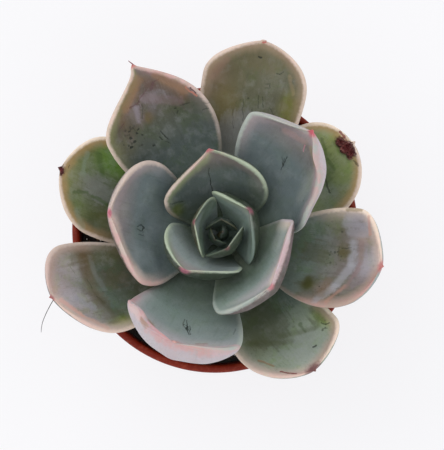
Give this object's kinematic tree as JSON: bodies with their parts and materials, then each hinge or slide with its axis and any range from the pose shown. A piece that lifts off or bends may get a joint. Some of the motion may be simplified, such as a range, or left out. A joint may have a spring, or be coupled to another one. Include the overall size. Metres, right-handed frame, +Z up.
{
  "type": "potted costa echeveria",
  "caption": "Rosette succulent with thick blue-green spoon-shaped leaves on a short stem, rooted in potting mix in a small round plastic nursery pot.",
  "frame": {"origin": "the middle of the pot's underside, on the surface that it stands on", "axes": "+Z up along the pot's axis; +Y is the side that the rosette leans to, and the top of the picture; +X is the picture's right"},
  "size_m": [0.0636, 0.0648, 0.08],
  "materials": {
    "pot_plastic": "satin",
    "potting_mix": "matte",
    "stem_bark": "matte",
    "old_leaf": "satin",
    "young_leaf": "matte"
  },
  "bodies": {
    "root": {"pot": "pot_plastic", "soil": "potting_mix", "stem": "stem_bark", "leaf_01": "old_leaf", "leaf_02": "old_leaf", "leaf_03": "old_leaf", "leaf_04": "old_leaf", "leaf_05": "old_leaf", "leaf_06": "old_leaf", "leaf_07": "old_leaf", "leaf_08": "young_leaf", "leaf_09": "young_leaf", "leaf_10": "young_leaf", "leaf_11": "young_leaf", "leaf_12": "young_leaf", "leaf_13": "young_leaf", "leaf_14": "young_leaf", "leaf_15": "young_leaf", "leaf_16": "young_leaf", "leaf_17": "young_leaf", "leaf_18": "young_leaf", "leaf_19": "young_leaf"}
  },
  "joints": []
}
